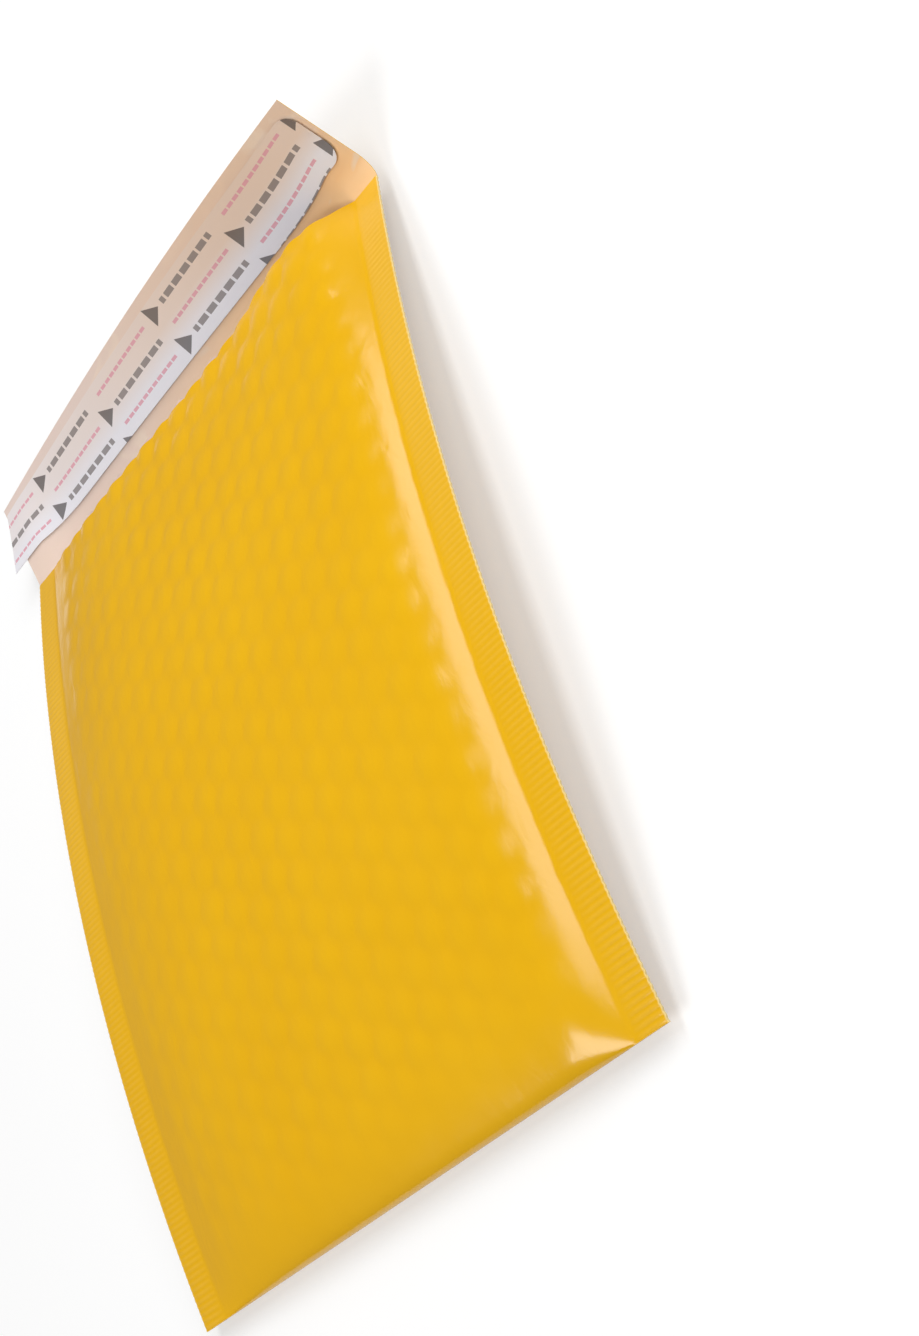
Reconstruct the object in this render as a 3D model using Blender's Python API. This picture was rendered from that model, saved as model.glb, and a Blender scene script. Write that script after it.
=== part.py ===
"""Padded mailing envelope, lying on its back with the flap raised.

One sheet of film is folded at the bottom, crimped down both sides and runs on past the mouth
as the flap. A folded sheet of bubble lining sits inside it. The flap carries a band of adhesive
under a peel-off release liner.

X runs across the width, +Y from the bottom fold to the mouth, +Z up. The origin is on the
resting face of the back. Distances along the envelope are measured from the bottom fold,
following the bend of the side seams.
"""

import math

import bpy
import bmesh

# Outer sheet
WIDTH = 0.216
POCKET_LENGTH = 0.267
FLAP_LENGTH = 0.031
FILM = 0.0003
SEAL_WIDTH = 0.0115
ARCH_RISE = 0.0122

# Padding and pocket
LINING = 0.0023
CLEARANCE = 0.0003
POCKET_ABOVE_SEAM = 0.0033
POCKET_BELOW_SEAM = 0.0027
FRONT_SLOPE = 0.022
BACK_SLOPE = 0.030
FOLD_ROUND = 0.020
SLOPE_POWER = 2.2

# Mouth
MOUTH_PUFF = 0.0024
PUFF_CENTRE = 0.070
PUFF_HALF_WIDTH = 0.026
PUFF_DEPTH = 0.070
MOUTH_RECESS = 0.0056
LINING_RECESS = 0.0026
RECESS_LOST_IN_PUFF = 0.7
RECESS_POWER = 4

# Bubble relief and crimped seals
BUBBLE_PITCH = 0.01207
BUBBLE_RELIEF = 0.00055
RELIEF_FADE = 0.006
RIB_PITCH = 0.0019
RIB_HEIGHT = 0.00016
RIB_MARGIN = 0.0010

# Flap, lifted all along its free edge and turned up further towards the right
FLAP_LIFT = 0.0124
FLAP_BEND = 0.008
FLAP_SLOPE_LEFT = math.radians(2)
FLAP_SLOPE_RIGHT = math.radians(56)

# Adhesive band and release liner
LINER_FROM_EDGE = 0.003
LINER_WIDTH = 0.0174
ADHESIVE_WIDTH = 0.0130
ADHESIVE_THICKNESS = 0.0002
ADHESIVE_INSET = 0.006
LINER_THICKNESS = 0.0002
LINER_OVERHANG = 0.0085
LINER_SLANT = 0.010
SLANT_REACH = 0.030
LINER_INSET = 0.002
LINER_CORNER = 0.005

# Lining outline inside the film
LINING_SIDE_GAP = 0.002
LINING_FOLD_GAP = 0.0025
LINING_CORNER = 0.012
POCKET_EDGE = 0.010
POCKET_SIDE_WALL = 2.5 * LINING
POCKET_FOLD_WALL = 3 * LINING

# Spacing of the mesh points
FIRST_FROM_SEAL = 0.0032
GROWTH_FROM_SEAL = 1.4
WIDEST_NEAR_SEAL = 0.010
MIDDLE_STEP = 0.014
FIRST_FROM_FOLD = 0.0010
GROWTH_FROM_FOLD = 1.7
WIDEST_ALONG = 0.024
FRONT_FOLD_ROWS = [0, 0.0007, 0.0022]
FIRST_BUBBLE_ROW = 0.0036
FLAP_BEND_STEP = 0.0025
FLAP_STEP = 0.006
STRIP_STEPS = 4
CORNER_STEPS = 4
WELD = 2e-6
SHORTEST_EDGE = 1e-6
SHARP_EDGE = math.radians(40)

INNER_HALF = WIDTH / 2 - SEAL_WIDTH
FOLD_WALL = 1.6 * FILM
SEAM_HEIGHT = FILM + CLEARANCE + LINING + POCKET_BELOW_SEAM
FRONT_RISE = CLEARANCE + LINING + POCKET_ABOVE_SEAM
RIB_LINE = INNER_HALF + RIB_MARGIN
BEND = 8 * ARCH_RISE / POCKET_LENGTH**2


def clamp(value, low=0.0, high=1.0):
    return max(low, min(high, value))


def smooth(value):
    value = clamp(value)
    return value * value * (3 - 2 * value)


# The side seams lie on one arc, and both walls swell away from it

def seam(along):
    """Place of the side seam at this distance from the bottom fold: y, z and the arc's angle."""
    angle = BEND * (along - POCKET_LENGTH / 2)
    return math.sin(angle) / BEND, SEAM_HEIGHT + ARCH_RISE + (math.cos(angle) - 1) / BEND, angle


def side_swell(across, zone):
    """0 on the seal's inner line, rising to 1 once a wall has left it by the width of its slope."""
    share = clamp((INNER_HALF - abs(across)) / zone)
    return 1 - (1 - share) ** SLOPE_POWER


def fold_swell(along):
    """0 on the bottom fold, rising as a quarter ellipse."""
    share = clamp(along / FOLD_ROUND)
    return math.sqrt(1 - (1 - share) ** 2)


def puff(across, along):
    """The mouth's front edge is pushed up most right of its middle."""
    near_mouth = smooth(1 - (POCKET_LENGTH - along) / PUFF_DEPTH)
    return near_mouth * math.exp(-(((across - PUFF_CENTRE) / PUFF_HALF_WIDTH) ** 2))


def front_height(across, along, fold=0):
    """Height of the front wall's inner face above the seam. The swell begins at fold."""
    rise = FRONT_RISE + MOUTH_PUFF * puff(across, along)
    return rise * side_swell(across, FRONT_SLOPE) * fold_swell(along - fold)


def back_depth(across, along, fold=0):
    """Depth of the back wall's inner face below the seam. The wall's middle lies on the ground."""
    return (seam(along)[1] - FILM) * side_swell(across, BACK_SLOPE) * fold_swell(along - fold)


def drawn_in(across, along, recess):
    """A front wall's mouth edge stops short of the flap's crease, by up to this recess."""
    kept = 1 - RECESS_LOST_IN_PUFF * puff(across, POCKET_LENGTH)
    pull = recess * kept * side_swell(across, 2 * FRONT_SLOPE)
    return along - pull * (along / POCKET_LENGTH) ** RECESS_POWER


def front_point(across, along, height):
    y, z, angle = seam(along)
    return across, y + height * math.sin(angle), z + height * math.cos(angle)


def back_point(across, along, depth):
    y, z, _ = seam(along)
    return across, y, z - depth


def flap_point(across, distance, lift):
    """A point on the flap, this high above its outer face and this far from its crease."""
    share = clamp((across + WIDTH / 2) / WIDTH, -0.1, 1.1)
    slope = FLAP_SLOPE_LEFT + (FLAP_SLOPE_RIGHT - FLAP_SLOPE_LEFT) * share
    angle = slope * min(distance / FLAP_BEND, 1)
    radius = FLAP_BEND / slope
    straight = max(distance - FLAP_BEND, 0)
    y = seam(POCKET_LENGTH)[0] + radius * math.sin(angle) + straight * math.cos(slope)
    base = back_point(across, POCKET_LENGTH, back_depth(across, POCKET_LENGTH) + FILM)[2]
    base += (FLAP_LIFT - base) * distance / FLAP_LENGTH
    z = base + radius * (1 - math.cos(angle)) + straight * math.sin(slope)
    return across, y - lift * math.sin(angle), z + lift * math.cos(angle)


def bubble_dome(across, along):
    """Height of the bubbles from 0 to 1. They stand in columns, every other one staggered."""
    column_gap = BUBBLE_PITCH * math.sqrt(3) / 2
    from_mouth = POCKET_LENGTH - along - BUBBLE_PITCH / 4
    nearest = BUBBLE_PITCH
    for column in (math.floor(across / column_gap), math.ceil(across / column_gap)):
        row = from_mouth / BUBBLE_PITCH - 0.5 * (column % 2)
        off = (row - round(row)) * BUBBLE_PITCH
        nearest = min(nearest, math.hypot(across - column * column_gap, off))
    return max(0.0, 1 - (2 * nearest / BUBBLE_PITCH) ** 2)


def relief(across, along):
    fade = clamp((INNER_HALF - abs(across)) / RELIEF_FADE) * clamp(along / RELIEF_FADE - 0.5)
    return BUBBLE_RELIEF * fade * bubble_dome(across, along)


# Stations, the places along and across where a surface has points

def between(start, end, step):
    """Evenly spaced values from start to end, close to this step apart."""
    count = max(1, round((end - start) / step))
    return [start + (end - start) * i / count for i in range(count + 1)]


def widening(start, end, first, growth, widest):
    """Values from start to end whose spacing grows from first to widest."""
    values, step = [start], first
    while values[-1] + 1.5 * step < end:
        values.append(values[-1] + step)
        step = min(step * growth, widest)
    return values + [end]


def across_stations(half):
    """Close together over the slopes at both sides and wide apart in the flat middle."""
    side = widening(0, BACK_SLOPE, FIRST_FROM_SEAL, GROWTH_FROM_SEAL, WIDEST_NEAR_SEAL)
    left = [value - half for value in side]
    right = [half - value for value in reversed(side)]
    return left + between(left[-1], right[0], MIDDLE_STEP)[1:-1] + right


def full_across():
    """The same, out to both edges of the sheet. All pieces on the flap share these points."""
    return [-WIDTH / 2] + across_stations(INNER_HALF) + [WIDTH / 2]


def part_across(start, end):
    return [start] + [u for u in full_across() if start < u < end] + [end]


def along_stations():
    return widening(0, POCKET_LENGTH, FIRST_FROM_FOLD, GROWTH_FROM_FOLD, WIDEST_ALONG)


def inner_along(start=FOLD_WALL):
    """The same for the film's inner faces, which the lining shares from its own start."""
    scale = 1 - FOLD_WALL / POCKET_LENGTH
    places = [FOLD_WALL + scale * value for value in along_stations()]
    return [start] + [place for place in places if place > start + FILM]


def lattice_across():
    """Three columns of points to each column of bubbles, clear of the seal's inner line."""
    step = BUBBLE_PITCH / (2 * math.sqrt(3))
    count = int(INNER_HALF / step - 0.4)
    return [-INNER_HALF] + [i * step for i in range(-count, count + 1)] + [INNER_HALF]


def lattice_along():
    """Two rows of points to each row of bubbles, closer together round the bottom fold."""
    rows = [POCKET_LENGTH]
    row = POCKET_LENGTH - BUBBLE_PITCH / 4
    while row > FIRST_BUBBLE_ROW:
        rows.append(row)
        row -= BUBBLE_PITCH / 2
    return FRONT_FOLD_ROWS + sorted(rows)


def rib_stations():
    return between(0, POCKET_LENGTH, RIB_PITCH / 2)


# Mesh building: grids of points, joined along their borders

class Sheet:
    """Collects points and faces, then makes one closed mesh object of them."""

    def __init__(self):
        self.points = []
        self.faces = []

    def chain(self, points):
        first = len(self.points)
        self.points.extend(points)
        return list(range(first, len(self.points)))

    def grid(self, point, columns, rows):
        """Points at every column and row, with faces between them, as one chain for each row."""
        chains = [self.chain([point(column, row) for column in columns]) for row in rows]
        for lower, upper in zip(chains, chains[1:]):
            self.strip(lower, upper)
        return chains

    def strip(self, one, other):
        """Faces between two chains of the same length."""
        for i in range(len(one) - 1):
            self.faces.append((one[i], one[i + 1], other[i + 1], other[i]))

    def zip(self, one, one_at, other, other_at):
        """Triangles between two chains of any length, matched by their points' places."""
        i = j = 0
        while i < len(one) - 1 or j < len(other) - 1:
            ends = j == len(other) - 1
            if ends or (i < len(one) - 1 and one_at[i + 1] <= other_at[j + 1]):
                self.faces.append((one[i], one[i + 1], other[j]))
                i += 1
            else:
                self.faces.append((one[i], other[j + 1], other[j]))
                j += 1

    def build(self, name, material):
        mesh = bpy.data.meshes.new(name)
        edit = bmesh.new()
        corners = [edit.verts.new(point) for point in self.points]
        for face in self.faces:
            edit.faces.new([corners[i] for i in face])
        bmesh.ops.remove_doubles(edit, verts=edit.verts, dist=WELD)
        bmesh.ops.dissolve_degenerate(edit, edges=edit.edges, dist=SHORTEST_EDGE)
        bmesh.ops.triangulate(edit, faces=[face for face in edit.faces if len(face.verts) > 3])
        bmesh.ops.recalc_face_normals(edit, faces=edit.faces)
        edit.to_mesh(mesh)
        edit.free()
        mesh.shade_smooth()
        mesh.set_sharp_from_angle(angle=SHARP_EDGE)
        mesh.materials.append(material)
        made = bpy.data.objects.new(name, mesh)
        bpy.context.collection.objects.link(made)
        return made


def side_of(chains, index):
    return [chain[index] for chain in chains]


# Outer film

def make_film(material):
    """The folded, crimped sheet: walls, side seals, bottom fold and flap in one piece."""
    sheet = Sheet()
    fine_across = lattice_across()
    fine_along = lattice_along()
    across = across_stations(INNER_HALF)
    whole = full_across()
    along = along_stations()
    flap_along = between(0, FLAP_BEND, FLAP_BEND_STEP)
    flap_along += between(FLAP_BEND, FLAP_LENGTH, FLAP_STEP)[1:]

    def front_outer(u, s):
        place = drawn_in(u, s, MOUTH_RECESS)
        return front_point(u, place, front_height(u, place) + FILM + relief(u, s))

    def front_inner(u, s):
        place = drawn_in(u, s, MOUTH_RECESS)
        return front_point(u, place, front_height(u, place, FOLD_WALL))

    def back_inner(u, s):
        return back_point(u, s, back_depth(u, s, FOLD_WALL))

    def back_outer(u, s):
        if s > POCKET_LENGTH:
            return flap_point(u, s - POCKET_LENGTH, 0)
        return back_point(u, s, back_depth(u, s) + FILM)

    front = sheet.grid(front_outer, fine_across, fine_along)
    back = sheet.grid(back_outer, whole, along + [POCKET_LENGTH + v for v in flap_along[1:]])
    sheet.grid(front_inner, across, inner_along())
    sheet.grid(back_inner, across, inner_along())
    flap = sheet.grid(lambda u, v: flap_point(u, v, FILM), whole, flap_along)
    mouth_row = len(along) - 1

    # Crimp ribs across the front of both side seals
    ribs = rib_stations()
    seal_edges = {}
    for side in (-1, 1):
        def rib_point(u, s):
            wave = 0.5 - 0.5 * math.cos(2 * math.pi * s / RIB_PITCH)
            return front_point(side * u, s, FILM + RIB_HEIGHT * wave)

        rib_rows = sheet.grid(rib_point, [RIB_LINE, WIDTH / 2], ribs)
        wall_edge = side_of(front, 0 if side < 0 else -1)
        sheet.zip(wall_edge, fine_along, side_of(rib_rows, 0), ribs)
        seal_edges[side] = rib_rows

    # Narrow edge faces: the seal's two layers meet on a middle line
    middle = {}
    for side in (-1, 1):
        middle[side] = sheet.chain([back_point(side * WIDTH / 2, s, 0) for s in along])
        sheet.zip(side_of(seal_edges[side], 1), ribs, middle[side], along)
        back_edge = side_of(back[: mouth_row + 1], 0 if side < 0 else -1)
        sheet.strip(middle[side], back_edge)

    # Bottom fold
    fold_y, fold_z, _ = seam(0)
    fold = sheet.chain([(u, fold_y - FILM / 2 * (abs(u) < WIDTH / 2), fold_z) for u in whole])
    top_row = seal_edges[-1][0][::-1] + front[0] + seal_edges[1][0]
    top_places = [-WIDTH / 2, -RIB_LINE] + fine_across + [RIB_LINE, WIDTH / 2]
    sheet.zip(top_row, top_places, fold, whole)
    sheet.strip(fold, back[0])

    # Mouth: the rim of the front wall, and the end of the seals where the flap begins
    inner_rim = sheet.chain([front_inner(u, POCKET_LENGTH) for u in across])
    sheet.zip(front[-1], fine_across, inner_rim, across)
    left_end = seal_edges[-1][-1][::-1] + front[-1][:1]
    right_end = front[-1][-1:] + seal_edges[1][-1]
    sheet.zip(left_end, [-WIDTH / 2, -RIB_LINE, -INNER_HALF], flap[0][:2], whole[:2])
    sheet.zip(right_end, [INNER_HALF, RIB_LINE, WIDTH / 2], flap[0][-2:], whole[-2:])

    # Edges of the flap
    for index in (0, -1):
        sheet.strip(side_of(flap, index), side_of(back[mouth_row:], index))
    sheet.strip(flap[-1], back[-1])
    return sheet.build("outer_film", material)


# Bubble lining

def rounded_half(half, start, along):
    """Half the width of an outline with rounded bottom corners, at this distance from the fold."""
    share = clamp(1 - (along - start) / LINING_CORNER)
    return half - LINING_CORNER * (1 - math.sqrt(1 - share**2))


def make_lining(material):
    """One sheet folded at the bottom, with its sides pressed together where they meet the seals."""
    sheet = Sheet()
    half = INNER_HALF - LINING_SIDE_GAP
    start = LINING_FOLD_GAP
    pocket_half = half - POCKET_SIDE_WALL
    pocket_start = start + POCKET_FOLD_WALL
    across = part_across(-half, half)
    along = inner_along(start)
    pocket_along = inner_along(pocket_start)

    def outline(column, s):
        limit = rounded_half(half, start, s)
        return clamp(column, -limit, limit)

    def front_outer(column, s):
        u = outline(column, s)
        place = drawn_in(u, s, LINING_RECESS)
        return front_point(u, place, front_height(u, place, FOLD_WALL) - CLEARANCE)

    def back_outer(column, s):
        u = outline(column, s)
        return back_point(u, s, back_depth(u, s, FOLD_WALL) - CLEARANCE)

    def pocket(column, s):
        """Place across, and how far the pocket has opened from its edge."""
        limit = rounded_half(pocket_half, pocket_start, s)
        u = clamp(column, -limit, limit)
        from_side = clamp((limit - abs(u)) / POCKET_EDGE)
        from_fold = clamp((s - pocket_start) / POCKET_EDGE)
        return u, (1 - (1 - from_side) ** 2) * math.sqrt(1 - (1 - from_fold) ** 2)

    def ceiling(column, s):
        u, opened = pocket(column, s)
        place = drawn_in(u, s, opened * LINING_RECESS)
        height = front_height(u, place, FOLD_WALL) - CLEARANCE - LINING
        return front_point(u, place, opened * height)

    def floor(column, s):
        u, opened = pocket(column, s)
        depth = back_depth(u, s, FOLD_WALL) - CLEARANCE - LINING
        return back_point(u, s, opened * depth)

    front = sheet.grid(front_outer, across, along)
    back = sheet.grid(back_outer, across, along)
    top = sheet.grid(ceiling, across, pocket_along)
    bottom = sheet.grid(floor, across, pocket_along)
    for index in (0, -1):
        sheet.strip(side_of(front, index), side_of(back, index))
        sheet.faces.append((front[-1][index], back[-1][index], top[-1][index]))
    sheet.strip(front[0], back[0])
    sheet.strip(front[-1], top[-1])
    sheet.strip(back[-1], bottom[-1])
    return sheet.build("bubble_lining", material)


# Adhesive band and release liner on the flap's inner face

def flap_strip(name, material, columns, limits, lift, thickness, slant=0):
    """A thin strip that follows the flap.

    limits gives its lower and upper edge at each place across. The upper corner of its left end
    is set back by the slant.
    """
    sheet = Sheet()
    shares = between(0, 1, 1 / STRIP_STEPS)

    def point(u, share, height):
        low, high = limits(u)
        set_back = slant * share * clamp(1 - (u - columns[0]) / SLANT_REACH)
        return flap_point(u + set_back, low + (high - low) * share, height)

    under = sheet.grid(lambda u, share: point(u, share, lift), columns, shares)
    over = sheet.grid(lambda u, share: point(u, share, lift + thickness), columns, shares)
    for index in (0, -1):
        sheet.strip(side_of(under, index), side_of(over, index))
        sheet.strip(under[index], over[index])
    return sheet.build(name, material)


def make_adhesive(material):
    """The band lies under the middle of the liner."""
    columns = part_across(-WIDTH / 2 + ADHESIVE_INSET, WIDTH / 2 - ADHESIVE_INSET)
    low = FLAP_LENGTH - LINER_FROM_EDGE - (LINER_WIDTH + ADHESIVE_WIDTH) / 2
    high = low + ADHESIVE_WIDTH

    def limits(_):
        return low, high

    lift = FILM + CLEARANCE
    return flap_strip("adhesive_strip", material, columns, limits, lift, ADHESIVE_THICKNESS)


def make_liner(material):
    """Wider than the band, with a slanted left end past the flap and a rounded right end."""
    left = -WIDTH / 2 - LINER_OVERHANG
    turn_start = WIDTH / 2 - LINER_INSET - LINER_CORNER
    high = FLAP_LENGTH - LINER_FROM_EDGE
    low = high - LINER_WIDTH
    angles = between(0, math.pi / 2, math.pi / 2 / CORNER_STEPS)
    turn = [turn_start + LINER_CORNER * math.sin(angle) for angle in angles]
    columns = part_across(left, turn_start)[:-1] + turn

    def limits(u):
        past = clamp((u - turn_start) / LINER_CORNER)
        cut = LINER_CORNER * (1 - math.sqrt(1 - past**2))
        return low + cut, high - cut

    lift = FILM + CLEARANCE + ADHESIVE_THICKNESS + CLEARANCE
    return flap_strip("release_liner", material, columns, limits, lift, LINER_THICKNESS, LINER_SLANT)


def plain_material(name, colour, roughness):
    material = bpy.data.materials.new(name)
    material.use_nodes = True
    shader = material.node_tree.nodes["Principled BSDF"]
    shader.inputs["Base Color"].default_value = (*colour, 1)
    shader.inputs["Roughness"].default_value = roughness
    shader.inputs["Metallic"].default_value = 0
    return material


def main():
    for old in list(bpy.context.scene.objects):
        bpy.data.objects.remove(old)
    make_film(plain_material("yellow_film", (0.85, 0.47, 0.01), 0.35))
    make_lining(plain_material("clear_bubble_film", (0.72, 0.60, 0.56), 0.4))
    make_adhesive(plain_material("hot_melt_adhesive", (0.75, 0.66, 0.52), 0.3))
    make_liner(plain_material("silicone_liner", (0.72, 0.68, 0.70), 0.45))


main()
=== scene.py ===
import math

import bmesh
import bpy
from mathutils import Euler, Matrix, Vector


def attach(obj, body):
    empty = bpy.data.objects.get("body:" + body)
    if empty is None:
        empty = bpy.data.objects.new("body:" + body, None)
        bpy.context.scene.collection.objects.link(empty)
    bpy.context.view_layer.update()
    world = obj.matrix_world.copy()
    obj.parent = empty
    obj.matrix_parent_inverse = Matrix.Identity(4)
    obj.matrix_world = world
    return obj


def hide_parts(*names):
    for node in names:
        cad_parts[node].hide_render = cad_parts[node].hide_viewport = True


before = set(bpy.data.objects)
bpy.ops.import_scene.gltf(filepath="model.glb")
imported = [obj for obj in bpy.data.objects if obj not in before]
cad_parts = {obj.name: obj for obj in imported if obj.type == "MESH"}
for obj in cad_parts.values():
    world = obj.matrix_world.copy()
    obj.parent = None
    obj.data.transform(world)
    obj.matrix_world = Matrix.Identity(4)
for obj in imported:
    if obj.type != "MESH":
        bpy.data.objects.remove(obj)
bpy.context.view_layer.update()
print("envelope: frame loaded, nodes", sorted(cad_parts))


# shape of the envelope, in metres: x across, +y to the mouth, +z up

envelope = {
    "width": 0.216,
    "pocketLength": 0.267,  # bottom fold to the crease of the flap
    "flapLength": 0.031,  # measured level
    "film": 0.0003,
    "foldWall": 1.6,  # in thicknesses of the film, where it turns
    "seal": 0.0115,
    "arch": 0.0122,  # how far the side seams rise in their middle
    "lining": 0.0023,
    "clearance": 0.0003,  # between the film and the lining
    "aboveSeam": 0.0033,  # half of the pocket's opening at its ends
    "belowSeam": 0.0027,
    "frontSlope": 0.022,  # width of the shoulder beside a seal
    "frontSlopeLeft": 0.056,  # the left side lies flatter
    "backSlope": 0.030,
    "foldRound": 0.020,
    "slopePower": 2.2,
    "mouthPuff": 0.0024,  # the bulge at the right of the mouth
    "puffCentre": 0.070,
    "puffHalfWidth": 0.026,
    "puffDepth": 0.070,
    "puffPull": 0.7,
    "filmRecess": 0.0056,  # how far the front edge stops short of the crease
    "liningRecess": 0.0026,
    "bubblePitch": 0.01207,
    "lastRow": 0.25,  # in pitches, from the mouth back to the last row of bubbles
    "flapLift": 0.0124,
    "flapBend": 0.008,
    "flapSlopeLeft": math.radians(2),
    "flapSlopeRight": math.radians(56),
}
width = envelope["width"]
pocketLength = envelope["pocketLength"]
flapLength = envelope["flapLength"]
film = envelope["film"]
innerHalf = width / 2 - envelope["seal"]
foldWall = envelope["foldWall"] * film
seamHeight = film + envelope["clearance"] + envelope["lining"] + envelope["belowSeam"]
frontRise = envelope["clearance"] + envelope["lining"] + envelope["aboveSeam"]
bend = 8 * envelope["arch"] / pocketLength**2  # curvature of the arch
columnGap = envelope["bubblePitch"] * math.sqrt(3) / 2


def clamp(value, low=0.0, high=1.0):
    return max(low, min(high, value))


def smooth(value):
    value = clamp(value)
    return value * value * (3 - 2 * value)


def between(start, end, step):
    count = max(1, round((end - start) / step))
    return [start + (end - start) * i / count for i in range(count + 1)]


def seam(along):
    angle = bend * (along - pocketLength / 2)
    return math.sin(angle) / bend, seamHeight + envelope["arch"] + (math.cos(angle) - 1) / bend, angle


def sideSwell(across, zone):
    share = clamp((innerHalf - abs(across)) / zone)
    return 1 - (1 - share) ** envelope["slopePower"]


def foldSwell(along):
    share = clamp(along / envelope["foldRound"])
    return math.sqrt(1 - (1 - share) ** 2)


def puff(across, along):
    nearMouth = smooth(1 - (pocketLength - along) / envelope["puffDepth"])
    return nearMouth * math.exp(-(((across - envelope["puffCentre"]) / envelope["puffHalfWidth"]) ** 2))


def frontHeight(across, along, fold=0.0):
    rise = frontRise + envelope["mouthPuff"] * puff(across, along)
    slope = envelope["frontSlope"] if across > 0 else envelope["frontSlopeLeft"]
    return rise * sideSwell(across, slope) * foldSwell(along - fold)


def backDepth(across, along, fold=0.0):
    return (seam(along)[1] - film) * sideSwell(across, envelope["backSlope"]) * foldSwell(along - fold)


def drawnIn(across, along, recess):  # the front wall's edge stops short of the crease
    kept = 1 - envelope["puffPull"] * puff(across, pocketLength)
    pull = recess * kept * sideSwell(across, 2 * envelope["frontSlope"])
    return along - pull * (along / pocketLength) ** 4


def frontPoint(across, along, height):
    y, z, angle = seam(along)
    return across, y + height * math.sin(angle), z + height * math.cos(angle)


def backPoint(across, along, depth):
    y, z, _ = seam(along)
    return across, y, z - depth


def flapSlope(across):  # the flap is twisted: it stands steeper towards the right
    share = clamp((across + width / 2) / width, -0.1, 1.1)
    return envelope["flapSlopeLeft"] + (envelope["flapSlopeRight"] - envelope["flapSlopeLeft"]) * share


def flapPoint(across, distance, lift):
    slope = flapSlope(across)
    angle = slope * min(distance / envelope["flapBend"], 1)
    radius = envelope["flapBend"] / slope
    straight = max(distance - envelope["flapBend"], 0)
    y = seam(pocketLength)[0] + radius * math.sin(angle) + straight * math.cos(slope)
    base = backPoint(across, pocketLength, backDepth(across, pocketLength) + film)[2]
    base += (envelope["flapLift"] - base) * distance / flapLength
    z = base + radius * (1 - math.cos(angle)) + straight * math.sin(slope)
    return across, y - lift * math.sin(angle), z + lift * math.cos(angle)


# small helpers for node trees

def addNode(tree, kind, inputs=None, **settings):
    node = tree.nodes.new(kind)
    for name, value in settings.items():
        setattr(node, name, value)
    for key, value in (inputs or {}).items():
        if isinstance(value, bpy.types.NodeSocket):
            tree.links.new(value, node.inputs[key])
        else:
            node.inputs[key].default_value = value
    return node


def calc(tree, operation, *values):
    return addNode(tree, "ShaderNodeMath", dict(enumerate(values)), operation=operation).outputs[0]


def ramp(tree, value, start, end, low=0.0, high=1.0):  # straight from low to high, held at both ends
    inputs = {"Value": value, "From Min": start, "From Max": end, "To Min": low, "To Max": high}
    return addNode(tree, "ShaderNodeMapRange", inputs).outputs[0]


def product(tree, value, *factors):
    for factor in factors:
        value = calc(tree, "MULTIPLY", value, factor)
    return value


def noise(tree, place, scale, detail):
    inputs = {"Vector": place, "Scale": scale, "Detail": detail}
    return addNode(tree, "ShaderNodeTexNoise", inputs).outputs[0]


def blendColour(tree, share, one, other):
    inputs = {0: share, 6: one, 7: other}  # the mix node's sockets for colours
    return addNode(tree, "ShaderNodeMix", inputs, data_type="RGBA").outputs[2]


def rgb(red, green, blue):  # a colour as seen on screen, 0 to 255
    def line(value):
        value /= 255
        return value / 12.92 if value <= 0.04045 else ((value + 0.055) / 1.055) ** 2.4
    return line(red), line(green), line(blue), 1


# camera and light

camera = {
    "place": (0.4439, -0.2826, 0.3696),
    "turn": (8.06, 50.72, -25.63),  # degrees
    "lens": 58.86,
}
cameraData = bpy.data.cameras.new("photoView")
cameraData.lens = camera["lens"]
cameraObject = bpy.data.objects.new("photoView", cameraData)
cameraObject.location = camera["place"]
cameraObject.rotation_euler = Euler([math.radians(a) for a in camera["turn"]], "XYZ")
bpy.context.collection.objects.link(cameraObject)
bpy.context.scene.camera = cameraObject

studio = {
    "sky": 0.18,
    "lamps": [  # name, place, aim, size, power
        ("stripSoftbox", (0.288, 0.47, 1.00), (0.2938, 0.37, 0.0), (0.34, 1.16), 5.7),  # long gleam
        ("rightSoftbox", (1.3, 1.0, 1.1), (0.0, 0.0, 0.0), (1.0, 1.0), 14.0),
        ("topSoftbox", (-0.9, -1.4, 2.1), (0.0, 0.0, 0.0), (1.2, 1.2), 29.5),
        ("frontSoftbox", (0.8, -1.6, 1.5), (0.0, 0.0, 0.0), (1.5, 1.5), 4.0),
    ],
    "floorSize": 6.0,
    "floorColour": (0.62, 0.62, 0.62),
    "floorRoughness": 0.9,
    "floorGloss": 0.1,
    "floorLift": 0.38,  # shown to the camera and in reflections, so that open floor is white
}


def makeLamp(name, place, aim, size, power):
    data = bpy.data.lights.new(name, "AREA")
    data.shape = "RECTANGLE"
    data.size, data.size_y = size
    data.energy = power
    made = bpy.data.objects.new(name, data)
    made.location = place
    made.rotation_euler = (Vector(aim) - Vector(place)).to_track_quat("-Z", "Y").to_euler()
    made.visible_camera = False
    bpy.context.collection.objects.link(made)


def makeSky():
    world = bpy.data.worlds.new("studioSky")
    bpy.context.scene.world = world
    world.use_nodes = True
    background = world.node_tree.nodes["Background"]
    background.inputs["Color"].default_value = (1, 1, 1, 1)
    background.inputs["Strength"].default_value = studio["sky"]


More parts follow.
